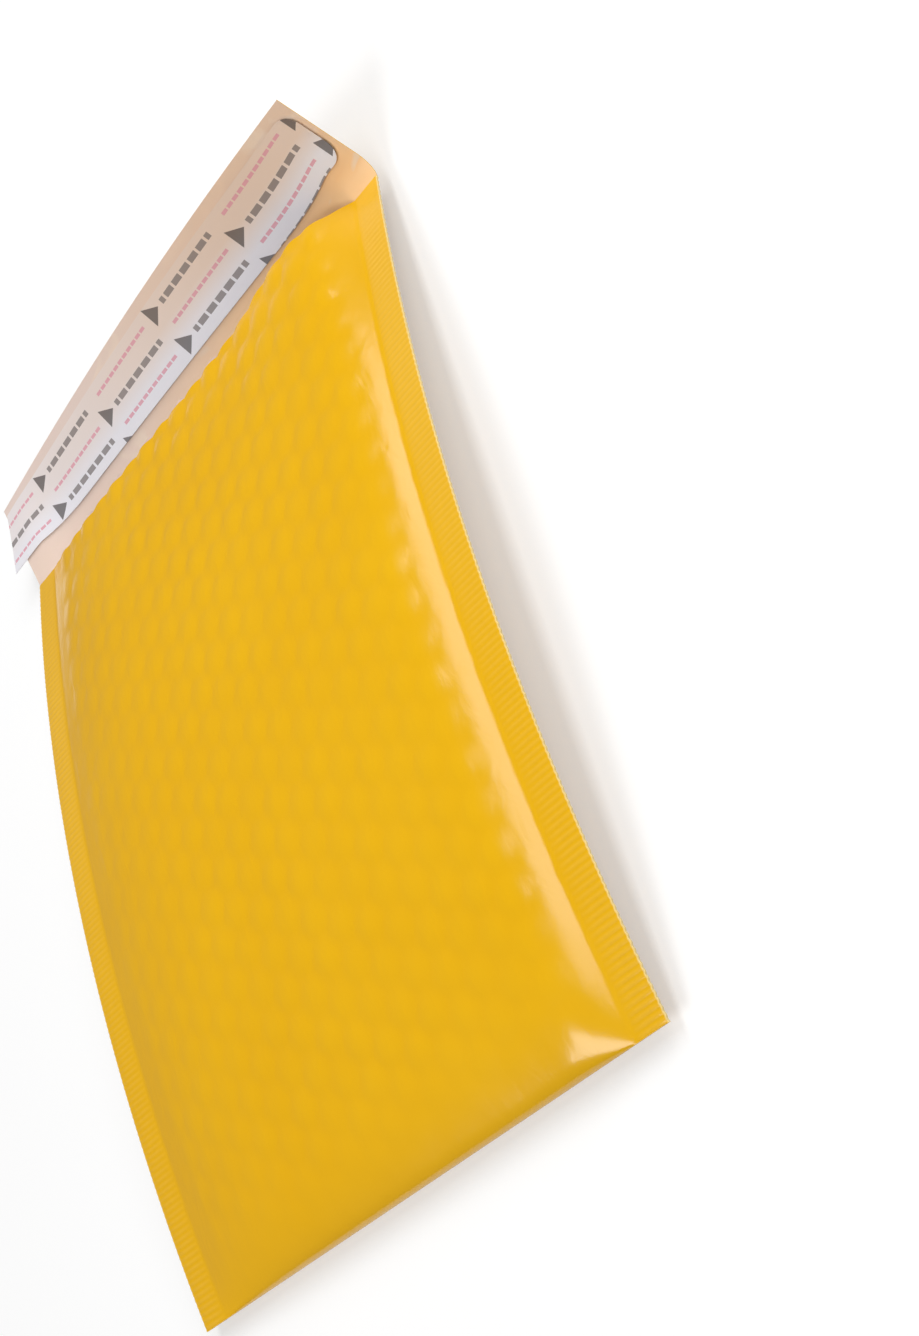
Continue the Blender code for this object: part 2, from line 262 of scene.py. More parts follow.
def makeFloor():
    half = studio["floorSize"] / 2
    mesh = bpy.data.meshes.new("studioFloor")
    corners = [(-half, -half, 0), (half, -half, 0), (half, half, 0), (-half, half, 0)]
    mesh.from_pydata(corners, [], [(0, 1, 2, 3)])
    made = bpy.data.objects.new("studioFloor", mesh)
    bpy.context.collection.objects.link(made)
    material = bpy.data.materials.new("paperFloor")
    material.use_nodes = True
    shader = material.node_tree.nodes["Principled BSDF"]
    shader.inputs["Base Color"].default_value = (*studio["floorColour"], 1)
    shader.inputs["Roughness"].default_value = studio["floorRoughness"]
    shader.inputs["Specular IOR Level"].default_value = studio["floorGloss"]
    shader.inputs["Emission Color"].default_value = (1, 1, 1, 1)
    rays = addNode(material.node_tree, "ShaderNodeLightPath").outputs
    seen = rays["Is Camera Ray"]
    for name in ("Is Glossy Ray", "Is Transmission Ray"):
        seen = calc(material.node_tree, "MAXIMUM", seen, rays[name])
    lift = calc(material.node_tree, "MULTIPLY", seen, studio["floorLift"])
    material.node_tree.links.new(lift, shader.inputs["Emission Strength"])
    mesh.materials.append(material)


bpy.context.scene.view_settings.view_transform = "Standard"
makeSky()
makeFloor()
for lamp in studio["lamps"]:
    makeLamp(*lamp)
print("envelope: camera, sky, floor and", len(studio["lamps"]), "lamps")


# finishes

# each finish gives its own scale, fineness, stretch, strength and depth of the crinkle
crinkle = {
    "detail": 3.0,
    "distortion": 0.6,
    "patchScale": 22.0,
    "patchDetail": 2.0,
    "patchRoughness": 0.5,
}
crinkleInputs = ("Scale", "Fineness", "Stretch")


def makeWrinkleGroup():  # soft pulls and crinkles of thin film
    tree = bpy.data.node_groups.new("filmCrinkle", "ShaderNodeTree")
    for name in crinkleInputs:
        tree.interface.new_socket(name, in_out="INPUT", socket_type="NodeSocketFloat")
    for name in ("Height", "Mottle"):
        tree.interface.new_socket(name, in_out="OUTPUT", socket_type="NodeSocketFloat")
    given = addNode(tree, "NodeGroupInput").outputs
    place = addNode(tree, "ShaderNodeTexCoord").outputs["Object"]
    squeeze = addNode(tree, "ShaderNodeCombineXYZ", {0: given["Stretch"], 1: 1.0, 2: 1.0}).outputs[0]
    pulled = addNode(tree, "ShaderNodeVectorMath", {0: place, 1: squeeze}, operation="MULTIPLY")
    broad = addNode(tree, "ShaderNodeTexNoise", {
        "Vector": pulled.outputs[0],
        "Scale": given["Scale"],
        "Detail": crinkle["detail"],
        "Roughness": given["Fineness"],
        "Distortion": crinkle["distortion"],
    })
    patches = addNode(tree, "ShaderNodeTexNoise", {
        "Vector": place,
        "Scale": crinkle["patchScale"],
        "Detail": crinkle["patchDetail"],
        "Roughness": crinkle["patchRoughness"],
    })
    end = addNode(tree, "NodeGroupOutput")
    tree.links.new(broad.outputs[0], end.inputs["Height"])
    tree.links.new(patches.outputs[0], end.inputs["Mottle"])
    return tree


wrinkleGroup = makeWrinkleGroup()


def newMaterial(name, roughness=None):
    material = bpy.data.materials.new(name)
    material.use_nodes = True
    tree = material.node_tree
    shader = tree.nodes["Principled BSDF"]
    if roughness:
        shader.inputs["Roughness"].default_value = roughness
    return material, tree, shader


def addCrinkle(tree, shader, values):
    *uniform, strength, depth = values
    group = addNode(tree, "ShaderNodeGroup", dict(zip(crinkleInputs, uniform)), node_tree=wrinkleGroup)
    inputs = {"Strength": strength, "Distance": depth, "Height": group.outputs["Height"]}
    bump = addNode(tree, "ShaderNodeBump", inputs)
    tree.links.new(bump.outputs[0], shader.inputs["Normal"])
    return group.outputs["Height"], group.outputs["Mottle"]


def reading(tree, name):
    return addNode(tree, "ShaderNodeAttribute", attribute_name=name).outputs["Fac"]


yellowFilm = {
    "gold": rgb(240, 186, 4),
    "deep": rgb(232, 174, 2),
    "paleEdge": rgb(255, 226, 150),
    # painted sheen: a pale colour painted on the crests of the seal ribs and on the seals near the mouth
    "paintedSealSheen": rgb(250, 206, 104),
    "mottleShare": 0.6,
    # painted shade: bubble tops are painted a little lighter and the hollows between them deeper
    "bubbleShadeShare": 0.2,  # a bubble's top is a little lighter
    # painted highlight on the rib crests
    "crestSheenShare": 0.14,
    # painted sheen: the seals are painted paler towards the mouth
    "sealSheenShare": 0.15,  # how much paler the seals are near the mouth
    "sealSheenRange": (0.10, 0.20),  # the paler stretch starts at the first and is full at the second
    "sealEase": 0.002,
    "crinkle": (90.0, 0.55, 2.0, 0.22, 0.0006),
    "mottleRange": (0.3, 0.7),  # gives the roughness its own range
    "roughnessRange": (0.13, 0.24),
    "gloss": 0.50,
}


def makeYellow():
    material, tree, shader = newMaterial("goldenFilm")
    shader.inputs["Specular IOR Level"].default_value = yellowFilm["gloss"]
    _, mottle = addCrinkle(tree, shader, yellowFilm["crinkle"])
    press = reading(tree, "pressed")
    crimp = reading(tree, "crimped")
    rim = reading(tree, "cutEdge")
    mottleShare = product(tree, mottle, yellowFilm["mottleShare"])
    # painted shade on the bubbles: lighter tops, deeper hollows
    bubbleShadeShare = product(tree, press, yellowFilm["bubbleShadeShare"])
    share = calc(tree, "ADD", mottleShare, bubbleShadeShare)
    colour = blendColour(tree, share, yellowFilm["deep"], yellowFilm["gold"])
    # painted sheen: the seals are painted paler near the mouth, and the rib crests paler still
    fromMiddle = calc(tree, "ABSOLUTE", reading(tree, "across"))
    sealed = ramp(tree, fromMiddle, innerHalf, innerHalf + yellowFilm["sealEase"])
    along = reading(tree, "along")
    nearMouth = ramp(tree, along, *yellowFilm["sealSheenRange"], 0.0, yellowFilm["sealSheenShare"])
    crestSheen = product(tree, crimp, yellowFilm["crestSheenShare"])
    pale = calc(tree, "MULTIPLY_ADD", sealed, nearMouth, crestSheen)
    colour = blendColour(tree, pale, colour, yellowFilm["paintedSealSheen"])
    colour = blendColour(tree, rim, colour, yellowFilm["paleEdge"])
    tree.links.new(colour, shader.inputs["Base Color"])
    rough = ramp(tree, mottle, *yellowFilm["mottleRange"], *yellowFilm["roughnessRange"])
    tree.links.new(rough, shader.inputs["Roughness"])
    return material


innerFilm = {
    # painted light: the peach film near the crease is painted paler and more orange, to make up for the shade
    # that falls in the crease
    "crease": rgb(255, 206, 140),
    "edge": rgb(233, 205, 180),
    "left": rgb(228, 212, 206),
    "patch": rgb(236, 204, 190),
    "streak": rgb(240, 220, 200),
    "creaseReach": 0.006,  # the crease colour starts to fade this far up the flap
    "leftRange": (0.06, -0.04),  # the left colour comes in between these places
    "leftShare": 0.8,
    "patchShare": 0.3,
    "streakRange": (0.60, 0.66),
    "streakShare": 0.6,
    "crinkle": (70.0, 0.5, 0.5, 0.5, 0.0008),
    "roughness": 0.45,
}


def makeInnerFilm():  # the sheet's inner side, paler than its outside
    material, tree, shader = newMaterial("peachInnerFilm", innerFilm["roughness"])
    height, mottle = addCrinkle(tree, shader, innerFilm["crinkle"])
    # painted light near the crease, fading out towards the flap's edge
    fadeStart = pocketLength + innerFilm["creaseReach"]
    towardsEdge = ramp(tree, reading(tree, "along"), fadeStart, pocketLength + flapLength)
    colour = blendColour(tree, towardsEdge, innerFilm["crease"], innerFilm["edge"])
    towardsLeft = ramp(tree, reading(tree, "across"), *innerFilm["leftRange"])
    leftShare = product(tree, towardsLeft, innerFilm["leftShare"])
    colour = blendColour(tree, leftShare, colour, innerFilm["left"])
    patchShare = product(tree, mottle, innerFilm["patchShare"])
    colour = blendColour(tree, patchShare, colour, innerFilm["patch"])
    streaks = ramp(tree, height, *innerFilm["streakRange"], 0.0, innerFilm["streakShare"])
    colour = blendColour(tree, streaks, colour, innerFilm["streak"])
    tree.links.new(colour, shader.inputs["Base Color"])
    return material


bubbleFilm = {
    "dark": rgb(212, 178, 166),
    "pale": rgb(226, 205, 196),
    "crinkle": (120.0, 0.6, 1.0, 0.3, 0.0005),
    "roughness": 0.32,
}
tackFinish = {
    "dark": rgb(222, 205, 180),
    "pale": rgb(236, 222, 200),
    "crinkle": (200.0, 0.6, 1.0, 0.4, 0.0003),
    "roughness": 0.25,
}


def makeMottled(name, finish):
    material, tree, shader = newMaterial(name, finish["roughness"])
    _, mottle = addCrinkle(tree, shader, finish["crinkle"])
    colour = blendColour(tree, mottle, finish["dark"], finish["pale"])
    tree.links.new(colour, shader.inputs["Base Color"])
    return material


linerPrint = {
    "coolPaper": rgb(238, 236, 242),
    "warmPaper": rgb(234, 210, 192),
    "patch": rgb(190, 184, 188),
    "pink": rgb(224, 150, 168),
    "dark": rgb(62, 52, 50),
    "grey": rgb(120, 110, 108),
    "patchShare": 0.12,
    "inkShare": 0.8,
    "warmRange": (0.003, 0.010),  # the paper is warmer towards the flap's edge
    "warmLeft": 0.3,  # share of the warmth at the left end
    "warmFullAt": 0.16,
    "crinkle": (40.0, 0.4, 0.6, 0.25, 0.0006),
    "roughness": 0.42,
    "repeat": 0.093,
    "rows": [  # height on the strip, place of the first arrowhead
        (0.0139, 0.0284),
        (0.0084, 0.0748),
        (0.0031, 0.0284),
        (-0.0016, 0.0748),
    ],
    "marks": [  # from the arrowhead, run, band, dash, taper, ink
        (0.0, 0.0065, 0.0058, 0.0930, 1.0, "dark"),
        (0.0225, 0.0340, 0.0016, 0.0057, 0.0, "grey"),
        (0.0670, 0.0375, 0.0009, 0.0034, 0.0, "pink"),
    ],
    "dashHalf": 0.4,  # half of a dash, in shares of the step from dash to dash
}
markInputs = ("Repeat", "Height", "Centre", "Run", "Band", "Dash", "Taper")


def makeMarkGroup():  # a mask of repeated marks: runs of dashes in a row, or arrowheads
    tree = bpy.data.node_groups.new("repeatedMark", "ShaderNodeTree")
    tree.interface.new_socket("UV", in_out="INPUT", socket_type="NodeSocketVector")
    for name in markInputs:
        tree.interface.new_socket(name, in_out="INPUT", socket_type="NodeSocketFloat")
    tree.interface.new_socket("Mask", in_out="OUTPUT", socket_type="NodeSocketFloat")
    given = addNode(tree, "NodeGroupInput").outputs
    parts = addNode(tree, "ShaderNodeSeparateXYZ", {0: given["UV"]}).outputs

    def wrapped(value, period):  # the distance to the nearest of the repeats
        half = product(tree, period, 0.5)
        return calc(tree, "WRAP", value, half, product(tree, half, -1.0))

    def within(value, limit):
        return calc(tree, "LESS_THAN", calc(tree, "ABSOLUTE", value), limit)

    beside = wrapped(calc(tree, "SUBTRACT", parts[0], given["Centre"]), given["Repeat"])
    inRun = within(beside, product(tree, given["Run"], 0.5))
    dashHalf = product(tree, given["Dash"], linerPrint["dashHalf"])
    inDash = within(wrapped(beside, given["Dash"]), dashHalf)
    towardsTip = calc(tree, "ADD", calc(tree, "DIVIDE", beside, given["Run"]), 0.5)
    kept = calc(tree, "SUBTRACT", 1.0, product(tree, given["Taper"], towardsTip))
    above = calc(tree, "SUBTRACT", parts[1], given["Height"])
    inBand = within(above, product(tree, given["Band"], 0.5, kept))
    end = addNode(tree, "NodeGroupOutput")
    tree.links.new(product(tree, inRun, inDash, inBand), end.inputs["Mask"])
    return tree


def makePrintedPaper():
    material, tree, shader = newMaterial("printedLiner", linerPrint["roughness"])
    _, mottle = addCrinkle(tree, shader, linerPrint["crinkle"])
    uv = addNode(tree, "ShaderNodeUVMap", uv_map="lie").outputs[0]
    parts = addNode(tree, "ShaderNodeSeparateXYZ", {0: uv}).outputs
    warm = ramp(tree, parts[1], *linerPrint["warmRange"])
    towardsRight = ramp(tree, parts[0], 0.0, linerPrint["warmFullAt"], linerPrint["warmLeft"])
    warmth = product(tree, warm, towardsRight)
    colour = blendColour(tree, warmth, linerPrint["coolPaper"], linerPrint["warmPaper"])
    patchShare = product(tree, mottle, linerPrint["patchShare"])
    colour = blendColour(tree, patchShare, colour, linerPrint["patch"])
    markGroup = makeMarkGroup()
    for height, first in linerPrint["rows"]:
        for offset, run, band, dash, taper, ink in linerPrint["marks"]:
            values = (linerPrint["repeat"], height, first + offset, run, band, dash, taper)
            inputs = {"UV": uv, **dict(zip(markInputs, values))}
            mark = addNode(tree, "ShaderNodeGroup", inputs, node_tree=markGroup)
            inkShare = product(tree, mark.outputs["Mask"], linerPrint["inkShare"])
            colour = blendColour(tree, inkShare, colour, linerPrint[ink])
    tree.links.new(colour, shader.inputs["Base Color"])
    return material


goldenFilm = makeYellow()
peachInnerFilm = makeInnerFilm()
milkyBubbleFilm = makeMottled("milkyBubbleFilm", bubbleFilm)
paleTack = makeMottled("paleTack", tackFinish)
printedLiner = makePrintedPaper()
print("envelope: finishes made")


# sheets of points and faces, zipped together along their borders

factNames = ("across", "along", "pressing", "crimping", "cutEdge", "lifting")
noFacts = (0,) * len(factNames)
sharpAngle = math.radians(50)
weldDistance = 2e-6
leastEdge = 1e-6


class Sheet:
    def __init__(self):
        self.points, self.facts, self.faces, self.sides = [], [], [], []

    def face(self, *corners, inside=0):
        self.faces.append(corners)
        self.sides.append(inside)

    def chain(self, points, facts=None):
        first = len(self.points)
        self.points.extend(points)
        self.facts.extend(facts or [noFacts] * len(points))
        return list(range(first, len(self.points)))

    def grid(self, point, columns, rows, inside=0, facts=None):
        chains = []
        for row in rows:
            made = [facts(column, row) for column in columns] if facts else None
            chains.append(self.chain([point(column, row) for column in columns], made))
        for lower, upper in zip(chains, chains[1:]):
            self.strip(lower, upper, inside)
        return chains

    def strip(self, one, other, inside=0):
        for i in range(len(one) - 1):
            self.face(one[i], one[i + 1], other[i + 1], other[i], inside=inside)

    def zip(self, one, oneAt, other, otherAt):
        i = j = 0
        while i < len(one) - 1 or j < len(other) - 1:
            if j == len(other) - 1 or (i < len(one) - 1 and oneAt[i + 1] <= otherAt[j + 1]):
                self.face(one[i], one[i + 1], other[j])
                i += 1
            else:
                self.face(one[i], other[j + 1], other[j])
                j += 1

    def build(self, name):
        mesh = bpy.data.meshes.new(name)
        edit = bmesh.new()
        layers = [edit.verts.layers.float.new(fact) for fact in factNames]
        corners = []
        for point, facts in zip(self.points, self.facts):
            corner = edit.verts.new(point)
            for layer, fact in zip(layers, facts):
                corner[layer] = fact
            corners.append(corner)
        for face, inside in zip(self.faces, self.sides):
            made = edit.faces.new([corners[i] for i in face])
            made.material_index = inside
        bmesh.ops.remove_doubles(edit, verts=edit.verts, dist=weldDistance)
        bmesh.ops.dissolve_degenerate(edit, edges=edit.edges, dist=leastEdge)
        bmesh.ops.recalc_face_normals(edit, faces=edit.faces)
        edit.to_mesh(mesh)
        edit.free()
        mesh.shade_smooth()
        mesh.set_sharp_from_angle(angle=sharpAngle)
        inside = mesh.attributes.new("inside", "BOOLEAN", "FACE")
        inside.data.foreach_set("value", [polygon.material_index > 0 for polygon in mesh.polygons])
        mesh.polygons.foreach_set("material_index", [0] * len(mesh.polygons))
        made = bpy.data.objects.new(name, mesh)
        bpy.context.collection.objects.link(made)
        return made


def sideOf(chains, index):
    return [chain[index] for chain in chains]


def freshTree(name, sizes, materials):
    tree = bpy.data.node_groups.new(name, "GeometryNodeTree")
    tree.interface.new_socket("Geometry", in_out="OUTPUT", socket_type="NodeSocketGeometry")
    tree.interface.new_socket("Geometry", in_out="INPUT", socket_type="NodeSocketGeometry")
    for size in sizes:
        tree.interface.new_socket(size, in_out="INPUT", socket_type="NodeSocketFloat")
    for material in materials:
        tree.interface.new_socket(material, in_out="INPUT", socket_type="NodeSocketMaterial")
    return tree


def named(tree, name, kind="FLOAT"):
    node = addNode(tree, "GeometryNodeInputNamedAttribute", {"Name": name}, data_type=kind)
    return node.outputs["Attribute"]


# real geometry with its materials, each on all faces or on a marked part
def finish(tree, geometry, materials):
    geometry = addNode(tree, "GeometryNodeRealizeInstances", {"Geometry": geometry}).outputs[0]
    for mark, material in materials:
        inputs = {"Geometry": geometry, "Material": material}
        if mark:
            inputs["Selection"] = named(tree, mark, "BOOLEAN")
        geometry = addNode(tree, "GeometryNodeSetMaterial", inputs).outputs[0]
    end = addNode(tree, "NodeGroupOutput")
    tree.links.new(geometry, end.inputs["Geometry"])


def runTree(made, tree, values):  # sets the inputs by identifier, then keeps the result as a plain mesh
    modifier = made.modifiers.new(tree.name, "NODES")
    modifier.node_group = tree
    for item in tree.interface.items_tree:
        if item.in_out == "INPUT" and item.name in values:
            modifier[item.identifier] = values[item.name]
    bpy.context.view_layer.update()
    evaluated = made.evaluated_get(bpy.context.evaluated_depsgraph_get())
    plain = bpy.data.meshes.new_from_object(evaluated)
    plain.name = made.name
    made.modifiers.remove(modifier)
    made.data = plain


# lumps along the mouth, where bubbles lift the cut edge of both sheets

mouthLumps = {
    "relief": 0.0004,
    "depth": 0.012,  # how far in from the edge they reach
    "sideEase": 0.012,  # they fade out towards the seals over this width
    "unevenScale": 80.0,
    "unevenShare": 2.6,
    "unevenBase": -0.4,
}
lumpInputs = ("Column Gap", "Length", "Relief", "Depth")


def lumpShare(across):
    return smooth((innerHalf - abs(across)) / mouthLumps["sideEase"])


def makeLumpGroup():
    tree = bpy.data.node_groups.new("mouthLump", "GeometryNodeTree")
    for name in lumpInputs:
        tree.interface.new_socket(name, in_out="INPUT", socket_type="NodeSocketFloat")
    tree.interface.new_socket("Lift", in_out="OUTPUT", socket_type="NodeSocketVector")
    given = addNode(tree, "NodeGroupInput").outputs
    toMouth = calc(tree, "SUBTRACT", given["Length"], named(tree, "along"))
    inward = calc(tree, "DIVIDE", toMouth, given["Depth"])
    near = calc(tree, "MAXIMUM", calc(tree, "SUBTRACT", 1.0, inward), 0.0)
    turn = calc(tree, "DIVIDE", product(tree, named(tree, "across"), 2 * math.pi), given["Column Gap"])
    valley = calc(tree, "MULTIPLY_ADD", calc(tree, "COSINE", turn), -0.5, 0.5)
    lump = calc(tree, "SUBTRACT", 1.0, product(tree, valley, valley))  # broad tops, narrow valleys
    place = addNode(tree, "GeometryNodeInputPosition").outputs[0]
    uneven = noise(tree, place, mouthLumps["unevenScale"], 1.0)
    amount = calc(tree, "MULTIPLY_ADD", uneven, mouthLumps["unevenShare"], mouthLumps["unevenBase"])
    height = product(tree, near, near, lump, amount, given["Relief"], named(tree, "lifting"))
    end = addNode(tree, "NodeGroupOutput")
    tree.links.new(addNode(tree, "ShaderNodeCombineXYZ", {2: height}).outputs[0], end.inputs["Lift"])
    return tree


lumpGroup = makeLumpGroup()


def lumpLift(tree, given):
    group = addNode(tree, "GeometryNodeGroup", node_tree=lumpGroup)
    for name in lumpInputs:
        tree.links.new(given[name], group.inputs[name])
    return group.outputs["Lift"]


# outer film: walls, seals, fold and flap in one sheet

outerFilm = {
    "bubbleRelief": 0.0005,
    "tautBand": 0.004,  # smooth film beside each seal, before the first bubbles
    "tautEase": 0.011,
    "tautFold": 0.035,  # the bubbles fade out towards the bottom fold
    "calmField": 0.9,  # share of the relief left in the middle
    "calmEase": 0.04,  # from the seals inwards
    "calmLeft": 0.6,  # share lost towards the left side
    "backRelief": 0.0002,
    "unevenScale": 55.0,
    "unevenShare": 1.5,
    "unevenBase": 0.3,
    "slack": 0.0005,
    "slackScale": 26.0,
    "ribPitch": 0.0019,
    "ribHeight": 0.00017,
    "ribMargin": 0.0008,
    "ribStart": 0.4,  # share of the height at the inner end
    "ribEase": 0.09,  # the ribs grow weaker over this length towards the mouth
    "ribAtMouth": 0.15,
    "serration": 0.00022,
    "edgeBand": 0.0006,  # the notched cut edge
    "edgeRound": 0.00005,
    "foldRows": [0, 0.0004, 0.0010, 0.0018, 0.0028],  # finer rows where the film turns
    "foldEnd": 0.004,
    "stepsPerColumn": 7,
    "stepsPerBubble": 8,
    "stepsPerRib": 6,
    "wallStep": 0.0024,
    "flapStep": 0.0016,
    "sealStep": 0.0035,
}


def makePressTree():
    sizes = ["Bubble Pitch", "Column Gap", "Bubble Relief", "Relief", "Depth", "Back Relief", "Slack"]
    sizes += ["Rib Pitch", "Rib Height", "Serration", "Length"]
    tree = freshTree("bubblePressAndCrimp", sizes, ["Outer Finish", "Inner Finish"])
    given = addNode(tree, "NodeGroupInput").outputs
    across, along, pressing = named(tree, "across"), named(tree, "along"), named(tree, "pressing")
    crimping, cutEdge = named(tree, "crimping"), named(tree, "cutEdge")
    pitch, gap = given["Bubble Pitch"], given["Column Gap"]
    gapBack = product(tree, gap, -1.0)
    halfPitch = product(tree, pitch, 0.5)
    halfBack = product(tree, pitch, -0.5)
    toMouth = calc(tree, "SUBTRACT", given["Length"], along)
    fromLastRow = calc(tree, "SUBTRACT", toMouth, product(tree, pitch, envelope["lastRow"]))

    def dome(columnShift, rowShift):  # one of the two interleaved grids of bubbles
        offAcross = calc(tree, "WRAP", calc(tree, "ADD", across, columnShift), gap, gapBack)
        offAlong = calc(tree, "WRAP", calc(tree, "ADD", fromLastRow, rowShift), halfPitch, halfBack)
        squared = calc(tree, "MULTIPLY_ADD", offAcross, offAcross, product(tree, offAlong, offAlong))
        share = calc(tree, "DIVIDE", squared, product(tree, halfPitch, halfPitch))
        return calc(tree, "MAXIMUM", calc(tree, "SUBTRACT", 1.0, share), 0.0)

    bubble = calc(tree, "MAXIMUM", dome(0.0, 0.0), dome(gap, halfPitch))
    place = addNode(tree, "GeometryNodeInputPosition").outputs[0]
    uneven = noise(tree, place, outerFilm["unevenScale"], 1.0)
    waver = noise(tree, place, outerFilm["slackScale"], 2.0)
    amount = calc(tree, "MULTIPLY_ADD", uneven, outerFilm["unevenShare"], outerFilm["unevenBase"])
    pressed = product(tree, bubble, amount)
    onFront = calc(tree, "MAXIMUM", pressing, 0.0)
    onBack = calc(tree, "MAXIMUM", product(tree, pressing, -1.0), 0.0)
    lift = product(tree, pressed, given["Bubble Relief"], onFront)
    wander = product(tree, calc(tree, "SUBTRACT", waver, 0.5), given["Slack"])
    hollow = product(tree, calc(tree, "SUBTRACT", bubble, 1.0), given["Back Relief"])
    front = calc(tree, "MULTIPLY_ADD", wander, onFront, lift)
    phase = calc(tree, "DIVIDE", product(tree, along, 2 * math.pi), given["Rib Pitch"])
    wave = calc(tree, "MULTIPLY_ADD", calc(tree, "COSINE", phase), -0.5, 0.5)
    rib = product(tree, wave, given["Rib Height"], crimping)
    total = calc(tree, "ADD", calc(tree, "MULTIPLY_ADD", hollow, onBack, front), rib)
    normal = addNode(tree, "GeometryNodeInputNormal").outputs[0]
    inputs = {0: normal, "Scale": total}
    offset = addNode(tree, "ShaderNodeVectorMath", inputs, operation="SCALE").outputs[0]
    inward = product(tree, wave, given["Serration"], cutEdge, calc(tree, "SIGN", across), -1.0)
    nick = addNode(tree, "ShaderNodeCombineXYZ", {0: inward}).outputs[0]
    for more in (nick, lumpLift(tree, given)):
        offset = addNode(tree, "ShaderNodeVectorMath", {0: offset, 1: more}, operation="ADD").outputs[0]

    # masks of the bubble tops and of the rib crests, which the finish uses for painted shade and painted
    # highlights
    shownBubble = product(tree, pressed, calc(tree, "ABSOLUTE", pressing))
    shownCrimp = product(tree, wave, crimping)
    geometry = given["Geometry"]
    for name, value in (("pressed", shownBubble), ("crimped", shownCrimp)):  # read by the finish
        inputs = {"Geometry": geometry, "Name": name, "Value": value}
        stored = addNode(tree, "GeometryNodeStoreNamedAttribute", inputs, data_type="FLOAT", domain="POINT")
        geometry = stored.outputs[0]
    moved = addNode(tree, "GeometryNodeSetPosition", {"Geometry": geometry, "Offset": offset})
    finish(tree, moved.outputs[0], [(None, given["Outer Finish"]), ("inside", given["Inner Finish"])])
    return tree


